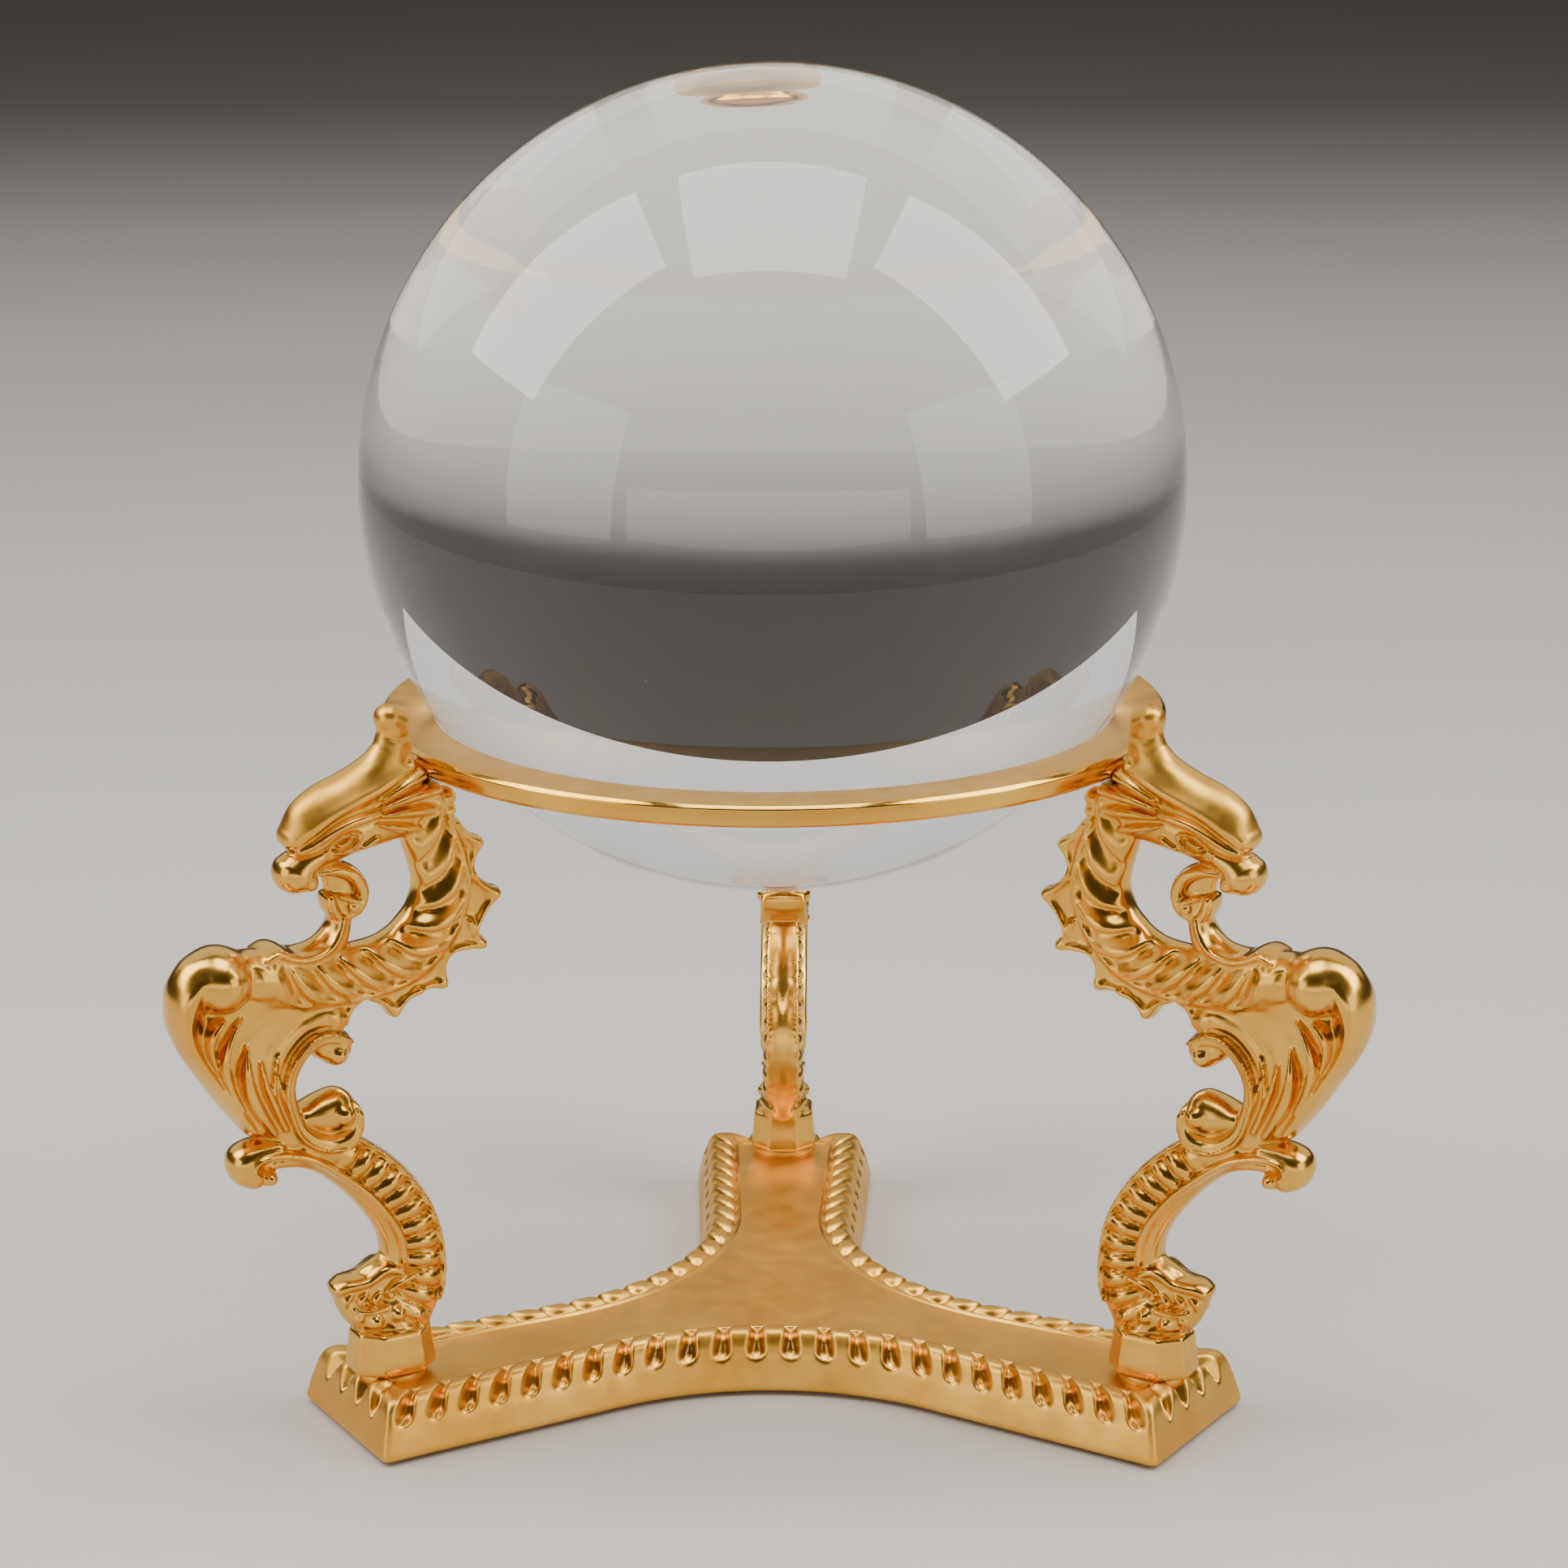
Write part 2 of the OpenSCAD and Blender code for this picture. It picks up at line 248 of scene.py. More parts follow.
# The same line down the middle of a groove between two lobes
GROOVE_LINE = [[0.7, 0], [0.3, 0.05], [0.08, 0.22], [0, 0.6], [0.2, 1.6], [0.42, 2.6],
               [0.62, 3.4], [0.82, 4.05], [1.1, 4.4], [1.55, 4.65], [2.05, 4.95],
               [2.45, 5.4], [2.75, 5.85], [3, 6.2], [3.3, 6.45], [3.65, 6.62], [4, 6.72],
               [4.35, 6.8], [4.7, 6.85], [5, 6.9], [5.25, 6.97], [5.42, 7.15], [5.58, 7.3],
               [5.8, 7.3], [6.1, 7.0]]
# Half width of the groove at each of those rows, on a hollow side and on an arm's end
GROOVE_HALF = [0, 0, 0, 0, 0, 0, 0, .4, .82, 1.02, 1.05, 1, .92, .85, .78, .68, .6, .56,
               .6, .75, 1, 1.35, 1.8, 2.2, 2.5]
NOTCH_HALF = [0, 0, 0, 0, 0, 0, 0, .15, .4, .65, .85, 1.05, 1.25, 1.4, 1.55, 1.65, 1.65, 1.5,
              1.2, 1, .9, .9, 1.1, 1.5, 2.4]


def smooth_line(rows, per_span=6):
    """The rows joined by a smooth curve: between two rows each column is the cubic through
    both whose slope at a row is half the difference of the rows on either side."""
    rows = np.asarray(rows, float)
    if len(rows) == 1:
        rows = np.vstack([rows, rows + 0.001])
    ends = np.vstack([rows[:1], rows, rows[-1:]])
    t = np.arange(per_span)[:, None] / per_span
    a, b, c, d = (ends[i:i + len(rows) - 1, None, :] for i in range(4))
    curve = 0.5 * (2 * b + (c - a) * t + (2 * a - 5 * b + 4 * c - d) * t ** 2
                   + (3 * b - 3 * c + d - a) * t ** 3)
    return np.vstack([curve.reshape(-1, rows.shape[1]), rows[-1:]])


def step(x, low, high):
    """0 below low, 1 above high, and smooth between."""
    x = np.clip((x - low) / (high - low), 0, 1)
    return x * x * (3 - 2 * x)


def side_and_end(inset):
    """What both parts of the outline need, moved inwards by inset: the arc's radius, where it
    ends, how far the side then runs straight, and the direction of the arm."""
    arm = (math.cos(math.radians(-30)), math.sin(math.radians(-30)))
    r = SIDE_CURVE + inset
    x = r * math.sin(SIDE_HALF_ANGLE)
    y = r * math.cos(SIDE_HALF_ANGLE) - SIDE_REACH - SIDE_CURVE
    run = (ARM_REACH - inset - x * arm[0] - y * arm[1]) / (
        math.cos(SIDE_HALF_ANGLE) * arm[0] - math.sin(SIDE_HALF_ANGLE) * arm[1])
    return r, x, y, run, arm


def hollow_side(inset, share):
    """Points [x, y] along a hollow side, an arc that runs on straight at both ends, moved
    inwards by inset; share goes from 0 to 1 along its length."""
    r, _, _, run, _ = side_and_end(inset)
    bend = r * SIDE_HALF_ANGLE
    along = (share * 2 - 1) * (bend + run)
    past = np.maximum(np.abs(along) - bend, 0)
    angle = np.minimum(np.abs(along), bend) / r
    x = np.sign(along) * (r * np.sin(angle) + past * math.cos(SIDE_HALF_ANGLE))
    y = (r * np.cos(angle) - past * math.sin(SIDE_HALF_ANGLE)) - SIDE_REACH - SIDE_CURVE
    return np.stack(np.broadcast_arrays(x, y), -1)


def arm_end(inset, share):
    """Points [x, y] along the straight end of the arm on that side's right, moved inwards by
    inset; share goes from 0 to 1 along its length."""
    _, x, y, run, arm = side_and_end(inset)
    half = (-arm[1] * (x + run * math.cos(SIDE_HALF_ANGLE))
            + arm[0] * (y - run * math.sin(SIDE_HALF_ANGLE)))
    across = half * (1 - 2 * share)
    reach = ARM_REACH - inset
    return np.stack(np.broadcast_arrays(reach * arm[0] - across * arm[1],
                                        reach * arm[1] + across * arm[0]), -1)


def turned(x, y, angle):
    """The points turned about the stand's axis."""
    return x * math.cos(angle) - y * math.sin(angle), x * math.sin(angle) + y * math.cos(angle)


def grid_faces(rows, columns):
    """Quads of a grid of points stored row by row, whose last column joins the first."""
    r = np.arange(rows - 1)[:, None] * columns
    c = np.arange(columns)[None, :]
    after = (c + 1) % columns
    quads = np.stack([r + c, r + after, r + columns + after, r + columns + c], -1)
    return quads.reshape(-1, 4)


def close_ends(points, faces, sides, low, high):
    """The points with one more on the axis at each of the heights low and high, and the faces
    with the fans that gather the first and the last ring of points to them."""
    n = len(points)
    last = n - sides
    fans = [[(i + 1) % sides, i, n] for i in range(sides)]
    fans += [[last + i, last + (i + 1) % sides, n + 1] for i in range(sides)]
    return np.vstack([points, [[0, 0, low], [0, 0, high]]]), faces.tolist() + fans


def lathe(profile, sides):
    """A profile of [radius, height] points turned about the axis: points ring by ring."""
    a = np.linspace(0, 2 * np.pi, sides, endpoint=False)
    r, z = profile[:, :1], profile[:, 1:]
    return np.stack([r * np.cos(a), r * np.sin(a), z + 0 * a], -1).reshape(-1, 3)


def drum(radius, low, high, sides=48, edge=0.2):
    """A closed upright drum whose edges are eased a little."""
    profile = np.array([[0.96 * radius, low], [radius, low + edge], [radius, high - edge],
                        [0.96 * radius, high]])
    return close_ends(lathe(profile, sides), grid_faces(4, sides), sides, low, high)


lobe = smooth_line(LOBE_LINE, 2)
groove = smooth_line(GROOVE_LINE, 2)
groove_half = smooth_line(np.array(GROOVE_HALF)[:, None], 2)
notch_half = smooth_line(np.array(NOTCH_HALF)[:, None], 2)
side_share = np.linspace(0, 1, LOBES * LOBE_COLUMNS, endpoint=False)[None, :]
end_share = np.linspace(0, 1, (NOTCHES + 1) * NOTCH_COLUMNS, endpoint=False)[None, :]
# How deep into a groove each point is, from 0 on a lobe to 1 along a groove's middle. The
# sides of a groove between lobes slope over 1.4 mm.
side_turn = (side_share * LOBES) % 1 - 0.5
end_turn = (end_share * (NOTCHES + 1) + 0.5) % 1 - 0.5
side_deep = 1 - step(np.abs(side_turn) * LOBE_PITCH, groove_half - 0.75, groove_half + 0.65)
end_deep = np.clip(1.15 - np.abs(end_turn) * NOTCH_PITCH / np.maximum(notch_half, 0.05), 0, 1)
end_deep = end_deep * ((end_share > 0.1) & (end_share < 0.9))
deep = np.concatenate([side_deep, end_deep], 1)
rows_inset = lobe[:, :1] * (1 - deep) + groove[:, :1] * deep
rows_z = lobe[:, 1:] * (1 - deep) + groove[:, 1:] * deep
n_side = side_share.shape[1]
third = np.concatenate([hollow_side(rows_inset[:, :n_side], side_share),
                        arm_end(rows_inset[:, n_side:], end_share)], 1)
wall = np.concatenate([np.stack([*turned(third[..., 0], third[..., 1], math.radians(120 * k)),
                                 rows_z], -1) for k in range(3)], 1)
columns = wall.shape[1]
# The upright corners are rounded: columns near a corner are drawn towards their neighbours
column_gap = np.abs((np.arange(columns)[:, None] - np.array([0, n_side])) % (columns // 3))
column_gap = np.minimum(column_gap, columns // 3 - column_gap).min(1)
corner_pull = 0.5 * np.exp(-(column_gap / 3.0) ** 2)[None, :, None]
for _ in range(CORNER_PASSES):
    middle = (np.roll(wall, 1, 1) + np.roll(wall, -1, 1)) / 2
    wall = wall + corner_pull * (middle - wall)
# Inwards from the border: the sunk face gathers to the axis; below: rim, hollow and roof
shares = [0.99, 0.95, 0.86, 0.7, 0.5, 0.3, 0.12]
sunk = [wall[-1] * [s, s, 1] for s in shares]
inner = np.concatenate([hollow_side(WALL, side_share[0]), arm_end(WALL, end_share[0])])
inner = np.concatenate([np.stack(turned(*inner.T, math.radians(120 * k)), -1) for k in range(3)])
hollow = [np.column_stack([inner, np.full(columns, z)]) for z in (0.0, 0.5, ROOF_Z - 0.5, ROOF_Z)]
roof = [hollow[-1] * [s, s, 1] for s in shares]
rings = [*roof[::-1], *hollow[::-1], *wall, *sunk]
base_points, base_faces = close_ends(np.concatenate(rings), grid_faces(len(rings), columns),
                                     columns, ROOF_Z, SUNK_Z)
# satin is 1 where the casting is left satin: the sunk face, the lobes' flat tops and the
# plain wall below them. It is 0 in the grooves, and between on the lobes' rounded shoulders.
satin = np.ones(len(base_points))
rows_before = len(roof) + len(hollow)
band = np.concatenate([deep] * 3, 1)
flat_top = step(lobe[:, 1:], 7.76, 7.88) + (1 - step(lobe[:, 1:], 3.6, 4.6))
wall_satin = (0.55 + 0.45 * np.clip(flat_top, 0, 1)) * (
    1 - step(band, 0.05, 0.4) * step(lobe[:, 1:], 3.6, 4.2))
wall_satin[-1] = 1
satin[rows_before * columns:(rows_before + len(wall)) * columns] = wall_satin.ravel()
for a in AZIMUTHS:
    for reach, radius, low, high in ((FOOT_REACH, FOOT_SEAT[0], SUNK_Z - BITE, FOOT_SEAT[1]),
                                     (PAD_REACH, BOSS_R, 0.0, ROOF_Z + BITE)):
        points, faces = drum(radius, low, high)
        base_faces += [[i + len(base_points) for i in face] for face in faces]
        base_points = np.vstack([base_points,
                                 points + [reach * math.cos(a), reach * math.sin(a), 0]])
        satin = np.concatenate([satin, np.ones(len(points))])
base_points = base_points + [0, 0, PAD_T]


def gold_plate(name, satin_roughness, bright_roughness, grit_mm, grit_depth):
    """Gold plate on cast brass, bright or satin by the attribute satin. The plating follows
    the casting's faint ripple, and the satin parts have a fine blasted grit."""
    made, tree, place = material(name)
    satin_here = node(tree, "ShaderNodeAttribute", {"attribute_name": "satin"}).outputs["Fac"]
    # thinner plate and handling give the colour a cloudy drift of a centimetre or so
    tone = two_tones(tree, noise(tree, place, 90.0, 4.0), "e3a83f", "efbc57", 0.3, 0.7)
    # fingers and cloths leave smears some 4 mm wide
    finish = spread(tree, satin_here, 0.0, 1.0, bright_roughness, satin_roughness)
    smear = spread(tree, noise(tree, place, 260.0, 3.0), 0.3, 0.7, 0.8, 1.25)
    roughness = node(tree, "ShaderNodeMath", {"operation": "MULTIPLY"}, (finish, smear))
    ripple = node(tree, "ShaderNodeBump", {"Strength": 1.0, "Distance": 0.012 * MM},
                  Height=noise(tree, place, 420.0, 1.0))
    grit = node(tree, "ShaderNodeMath", {"operation": "MULTIPLY"},
                (noise(tree, place, 1000.0 / grit_mm, 1.0), satin_here))
    grit_bump = node(tree, "ShaderNodeBump", {"Strength": 1.0, "Distance": grit_depth * MM},
                     Height=grit.outputs["Value"], Normal=ripple.outputs["Normal"])
    surface(tree, {"Metallic": 1.0}, Base_Color=tone, Roughness=roughness.outputs["Value"],
            Normal=grit_bump.outputs["Normal"])
    return made


def add_satin(made, values):
    """Stores a number for each point of the piece under the name satin."""
    layer = made.data.attributes.new("satin", "FLOAT", "POINT")
    layer.data.foreach_set("value", np.asarray(values, np.float32))


base_gold = gold_plate("gold-plated cast brass, satin", 0.42, 0.28, 0.35, 0.004)
base = mesh_object("base_casting", base_points, base_faces, base_gold)
add_satin(base, satin)
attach(base, "stand")
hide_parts("base_plate")

# ---- Screws, lock washers and ring pins: what holds the stand together ----
# Turned and rolled steel, nickel plated: a cross-slot screw with a split washer under its head
# goes up into each leg from below the base, and a plain pin from each leg into the ring.

# Turning lines of about 0.15 mm ring each piece, under a plating with a faint haze
steel, tree, place = material("turned steel, nickel plated")
tone = two_tones(tree, noise(tree, place, 700.0, 3.0), "a9a9a6", "c2c1bd")
stretch = node(tree, "ShaderNodeMapping", {"Scale": (200.0, 200.0, 6600.0)}, Vector=place)
lines = node(tree, "ShaderNodeBump", {"Strength": 0.6, "Distance": 0.02 * MM},
             Height=noise(tree, stretch.outputs["Vector"], 1.0, 1.0))
surface(tree, {"Metallic": 1.0, "Roughness": 0.3}, Base_Color=tone,
        Normal=lines.outputs["Normal"])
for i in (1, 2, 3):
    for kind in ("leg_screw", "lock_washer", "ring_pin"):
        dress(f"{kind}_{i}", steel)

# ---- Dragon legs: three gold-plated castings on the base ----
# Each leg is one lost-wax casting of a dragon: foot block, ribbed tail, scrolls, shoulder,
# fluted neck with a saw-tooth crest, and a head whose horn reaches up past the ring.
# All three come from one mould, so one skin is worked out and set at each azimuth.

# Every line of the modelling is a row of [out from the axis, up from the rim,
# half width in the leg's plane, half thickness across it].
NECK = [[52.6, 84.4, 3.7, 3.2], [51.3, 80.6, 3.9, 3.5], [50.3, 77, 3.9, 3.7],
        [50, 74.2, 3.8, 3.8], [50.4, 71.6, 3.9, 3.9], [51.5, 69.1, 4, 4],
        [53.2, 67, 4.1, 4], [55.7, 65.1, 4.1, 4], [59, 64.1, 3.9, 4],
        [63, 63.7, 3.9, 4], [67.5, 63.5, 3.9, 4], [72, 64, 3.9, 4.1],
        [76.5, 65.2, 3.6, 4.3]]
SPINE = [[49.6, 83, .5, 3], [48.3, 79.9, .45, 2.9], [47.3, 76.9, .45, 2.9],
         [46.9, 74.4, .45, 3], [47.3, 71.9, .45, 3], [48.2, 69.2, .45, 3],
         [49.4, 67.4, .45, 3], [51.3, 65, .45, 3], [53.7, 63.2, .45, 3],
         [56.3, 61.8, .45, 3], [59.8, 61, .45, 3], [64, 60.5, .45, 3]]
TAIL = [[71, 40.9, 1.7, 2.7], [67, 40.1, 2.3, 2.9], [63.6, 38.1, 3, 3], [60.5, 35.4, 3.4, 3.1],
        [57.9, 32.3, 3.6, 3.1], [56.1, 29.2, 3.7, 3.1], [55, 26, 3.6, 3.1],
        [54.6, 23, 3.5, 3.1], [54.7, 20, 3.5, 3.2], [55.6, 17, 3.6, 3.3],
        [57.2, 14.4, 3.7, 3.6], [58.4, 12.6, 3.9, 3.8]]
TAIL_BEAD = [[77.4, 38.6, .4, 3.5], [78.4, 39.6, .5, 3.7], [78, 40.8, .6, 3.7],
             [76.4, 41.3, .75, 3.7], [74.2, 41.2, .9, 3.7],
             [71.7, 40.5, .9, 3.6], [69.2, 39.3, .9, 3.6], [66, 36.9, .9, 3.6],
             [62.3, 33.6, .9, 3.6], [59.4, 29.6, .9, 3.6], [57.9, 26.1, .9, 3.6],
             [57.7, 23.4, .8, 3.4]]
TAIL_UNDER = [[76, 39.6, .9, 1.6], [72, 39.6, 1.1, 2.2], [68.4, 38.3, 1.2, 2.3],
              [64.8, 35.4, 1.3, 2.4], [61.5, 31.6, 1.3, 2.4], [59.6, 28.4, 1.2, 2.4],
              [58.8, 25.8, 1.1, 2.4], [58.7, 23, 1, 2.4]]
TAIL_EDGE = [[63.6, 41.5, .35, 2.5], [60.7, 39.4, .35, 2.6], [57.9, 36.8, .35, 2.6],
             [55.5, 33.8, .35, 2.6], [53.5, 30.6, .35, 2.6], [52.2, 27.2, .35, 2.6],
             [51.6, 23.5, .35, 2.6], [51.6, 20, .35, 2.7], [52.3, 17, .35, 2.8]]
SHOULDER = [[81.5, 65.6, 4.4, 5.7]]
SHOULDER_ROOT = [[75.6, 62.6, 3, 2.8], [80, 61, 3.4, 2.6], [83.4, 58.6, 2.6, 2.6]]
SHOULDER_LIP = [[76.6, 66.7, 1.7, 3.6], [80.4, 67.4, 2, 3.6], [82.6, 67.5, 2, 3.8],
                [84.6, 66.8, 2.1, 3.4], [85.9, 64.2, 2.3, 3.2], [85.9, 61, 2.3, 3],
                [85, 57.8, 2.3, 2.9], [83.4, 54.8, 2.2, 2.9], [81.4, 51.6, 2.1, 2.8], [79.3, 48.3, 1.9, 2.7],
                [77.1, 45, 1.5, 2.6]]
SHOULDER_EDGE = [[84.8, 66.2, 1.8, 4.2], [86.2, 64.2, 2, 4.3], [86.9, 60.8, 1.4, 4.1],
                 [86.3, 58, 1.15, 3.9], [85.1, 55.6, 1, 3.8], [83.5, 53, .95, 3.7],
                 [81.6, 50, .95, 3.6], [79.7, 47.3, .9, 3.4], [78.2, 45.1, .8, 3.1]]
CHEST = [[70, 61.2, 2.6, 2.2], [74.6, 59, 4, 2.3], [77.8, 56.5, 4.6, 2.4],
         [77.6, 52.4, 4.2, 2.4], [76.4, 48.4, 3.6, 2.4], [74.6, 45.2, 2.6, 2.5],
         [72.6, 42.6, 2, 2.5]]
CHEST_FRONT = [[66.2, 58, 2.3, 2.6], [67.6, 58.3, 2.3, 2.5], [70.6, 57.6, 1.8, 2.4],
               [73.6, 54.6, 1.8, 2.4], [74.6, 50.6, 1.6, 2.4], [73.8, 46.4, 1.5, 2.4],
               [71.4, 43, 1.4, 2.4]]
LEAVES = [[[72.6, 45.2, .4, 3], [73.9, 48.6, .45, 3.3], [74.5, 51.7, .3, 3]],
          [[73.8, 44.6, .6, 3.2], [75.2, 47.8, .75, 3.8], [76.4, 51, .75, 3.9],
           [76.9, 54, .4, 3.2]],
          [[75.4, 44.4, .8, 3.4], [77.5, 47.8, 1.15, 4.3], [78.8, 50.8, 1.25, 4.6],
           [79.2, 53.6, 1.1, 4.5], [78.8, 56.6, .4, 3.4]],
          [[79.6, 48.4, .5, 3.4], [81, 50.7, .75, 4.1], [81.8, 52.7, .9, 4.5],
           [82.2, 54.7, 1, 4.7], [81.9, 56.9, .95, 4.6], [80.9, 59, .75, 4.2],
           [79.6, 60.6, .35, 3.4]],
          [[83.2, 54.6, .4, 3.9], [84, 57, .7, 4.4], [83.7, 59.3, .85, 4.6],
           [82.1, 61, .5, 4.3]]]
SCROLL = [[65, 54.9, 1, 3.4], [66.6, 55.9, 1.2, 3.6], [68.9, 55.8, 1.3, 3.3],
          [71, 54.3, 1.3, 3.3], [72.5, 52, 1.3, 3.3], [73, 49.4, 1.3, 3.3],
          [72.5, 46.6, 1.3, 3.3], [71.3, 44.1, 1.3, 3.3], [69.2, 42.2, 1.4, 3.3],
          [66.9, 41.4, 1.5, 3.3], [64.9, 41.9, 1.4, 3.6], [63.8, 43.5, 1.2, 3.5],
          [63.7, 45.4, 1, 3.4]]
SCROLL_RIDGE = [[64.2, 55.2, .4, 3.6], [66.4, 56.5, .45, 4], [68.8, 56.5, .45, 3.75],
                [71.2, 55, .45, 3.75], [73, 52.4, .45, 3.75], [73.6, 49.5, .45, 3.75],
                [73, 46.3, .45, 3.75], [71.8, 43.4, .45, 3.75], [69.4, 41.4, .45, 3.75],
                [66.7, 40.7, .45, 3.7], [64.5, 41.2, .45, 3.7], [63.2, 43, .4, 3.4],
                [63.1, 45, .4, 3.3]]
PEARLED = [[74.4, 54.6, .25, 2.6], [75, 52.6, .4, 3.1], [75.2, 50.4, .4, 3.2],
           [74.8, 47.4, .4, 3.2], [73.4, 44.6, .4, 3.1]]
LOWER_CURL = [[66.2, 45.3, 3.15, 3.2], [68.4, 45.3, 2.6, 3.1], [70.4, 45.4, 1.6, 2.9]]
UPPER_CURL = [[65.7, 54.3, 2.3, 3.3], [67.4, 54.5, 1.9, 3.2]]
BACK_CURL = [[74.6, 41.9, 1.5, 3], [77.2, 41.4, 1.9, 3.1], [78.9, 40.6, 2.1, 3.2],
             [78.8, 39.2, 2, 3.2], [77.8, 38.4, 1.8, 3.1]]
FIN = [[59.4, 21.6, 2.4, 2.2], [61.4, 20.4, 2.6, 2.3], [63.6, 19.8, 2.2, 2.1],
       [65.8, 20.2, 1.4, 1.8]]
FIN_ROOT = [[58.8, 16, 3.2, 3], [61.4, 15.8, 2.6, 2.8], [63.8, 16.6, 1.8, 2.2],
            [65.4, 18.4, 1.2, 1.8]]
FIN_VEINS = [[[57.8, 21.8, 1, 3.1], [60, 22.5, 1.1, 3.2], [62.6, 21.2, 1, 3],
              [65.2, 20.9, 1, 2.7], [66.4, 20.4, .9, 2.2]],
             [[56.2, 21.1, .6, 3.2], [58.4, 20.6, .8, 3.5], [60.2, 19.5, .5, 3.1]],
             [[61, 19.5, .6, 2.9], [61.9, 18.6, .8, 3.1], [61.8, 17.7, .4, 2.6]],
             [[63, 19.6, .6, 2.7], [63.9, 18.8, .8, 2.9], [63.9, 17.9, .4, 2.4]],
             [[65, 19.6, .6, 2.3], [65.8, 18.9, .75, 2.5], [65.8, 18.1, .4, 2]],
             [[60.2, 17.2, .6, 3.1], [62.4, 17, .7, 3.1], [64.6, 17.4, .5, 2.6]]]
ROOT_LUMPS = [[58.8, 16.2, 1.6, 4], [61.8, 15.6, 1.5, 3.8], [64, 16.4, 1.1, 2.9],
              [59.6, 18.9, .9, 3.2], [56, 15.6, 1.2, 3.7]]
CREST = [[56, 94.6, 2.3, 2.1], [56.5, 92.2, 2.8, 2.5], [58.2, 90.4, 2.7, 2.9],
         [60.6, 89.2, 2.5, 3], [63.3, 88.1, 2.4, 3.1], [66.2, 87, 2.4, 3.1],
         [68.8, 85.3, 2.3, 2.9], [70.5, 83.2, 1.5, 2.4]]
CREST_LIP = [[54.6, 90.6, 1, 3], [57, 89.6, 1.2, 3.6], [60, 88.4, 1.3, 4],
             [63.2, 87.3, 1.4, 4.2], [66.4, 86, 1.5, 4.2], [69, 84.3, 1.5, 3.9],
             [70.7, 82.9, 1.1, 3.1]]
BROW = [[54.6, 88.2, 1.8, 2.4], [58.4, 87, 2, 2.5], [62.6, 85.5, 2, 2.9],
        [66.4, 83.6, 1.9, 2.8], [69, 82, 1.4, 2.5]]
KNOB = [[55.6, 96.5, 1.9, 2.1], [56.5, 96.9, 2, 2.3]]
HORN_DENT = [[54.6, 93.2, 1.2, 1.3, 2.9], [55, 91.6, 1, 1.3, 3.1]]
HORN_CREASE = [[53.6, 94.9, .3, .7, 2], [56, 94.5, .3, .7, 2.3], [58.4, 95.1, .3, .7, 2]]
FACE = [[53.6, 84.8, 3.6, 2.5], [58, 83.6, 3.2, 2.6], [62.5, 82.4, 2.8, 2.7],
        [66.5, 80.6, 2, 2.5], [69.5, 79.4, 1.8, 2.5]]
LID = [[59.6, 85.3, .9, 3.7], [61.8, 85, 1.25, 4.1], [64.4, 84.5, 1.15, 4.2],
       [66.8, 83.5, 1, 4.1], [68.9, 82.3, .9, 3.8], [70.6, 81.6, .6, 3.2]]
EYE = [[63.7, 82.2, .6, 3.25], [65, 81.7, .6, 3.2]]
EYE_SOCKET = [[63, 82.5, .7, .9, 3], [64.4, 82, 1.1, 1, 3], [65.8, 81.4, .7, .9, 2.8]]
EYE_RIMS = [[[62, 82.7, .3, 3], [63.3, 83.2, .35, 3.4], [65.1, 82.8, .35, 3.3],
             [66.6, 81.2, .3, 2.9]],
            [[62, 82.5, .3, 3], [63.1, 81.3, .35, 3.2], [64.9, 80.6, .35, 3.1],
             [66.6, 81.1, .3, 2.9]]]
MANE = [[[51.4, 89.7, .8, 2.8], [53.4, 89.4, 1.15, 3.5], [56, 88.5, .95, 3.9],
         [58.8, 87.1, .4, 3.7]],
        [[50.8, 87.1, .9, 3], [53, 87.1, 1.15, 3.7], [55.8, 86.7, 1, 3.9],
         [59, 86, .4, 3.6]],
        [[51.6, 84.5, .9, 3.1], [53.6, 84.8, 1.15, 3.7], [56.2, 84.9, .95, 3.8],
         [59.2, 84.8, .4, 3.5]],
        [[53.8, 82.4, .8, 3.1], [55.8, 82.8, .95, 3.6], [57.8, 83.3, .75, 3.6],
         [59.6, 83.7, .35, 3.3]]]
CHEEK = [[59.8, 82, .8, 3.2], [61.6, 81, .7, 3.1]]
SNOUT = [[67.4, 80.4, 1.5, 2.9], [69.2, 79.5, 2.2, 3.1], [70.4, 78.3, 2.85, 3.4]]
NOSTRIL = [[68.9, 77, 1.5, 3]]
MOUTH = [[65.6, 77.4, 1.2, 1.3], [64.4, 75.8, 2.2, 1.4], [64.2, 73.6, 2, 1.5]]
JAW = [[68, 78.2, .5, 2.5], [66.2, 78.3, .8, 2.8], [64.4, 78, 1, 2.9],
       [62.8, 77.1, 1.15, 2.9], [61.8, 75.5, 1.2, 2.8], [61.7, 73.9, 1.15, 2.7],
       [62.3, 72.5, .95, 2.5], [63.4, 71.8, .7, 2.3]]
JAW_CURL = [[63, 72.9, 1.2, 2.8]]
CHIN = [[[61.6, 73.3, .35, 2.6], [63.2, 74, .5, 3], [64.9, 74.6, .4, 2.6]],
        [[66, 74.4, .8, 2.2], [65.8, 73.2, .9, 2.4], [65.2, 72, .8, 2.4]]]
TONGUE = [[64.3, 72, 1.6, 1.8], [64.6, 70.2, 1.7, 2.2], [65.6, 68.4, 2, 2.4],
          [68, 66.9, 2, 2.6], [71.4, 66.4, 2, 3], [74.4, 66.8, 1.8, 3.4]]
TONGUE_BEAD = [[64.6, 71.6, .8, 2.6], [65.4, 69.6, .85, 3], [67, 67.9, .85, 3.3],
               [69.6, 67.2, .85, 3.6], [72, 67.6, .85, 3.7], [73.9, 68.5, .9, 3.8],
               [75.6, 68, .6, 3.8]]
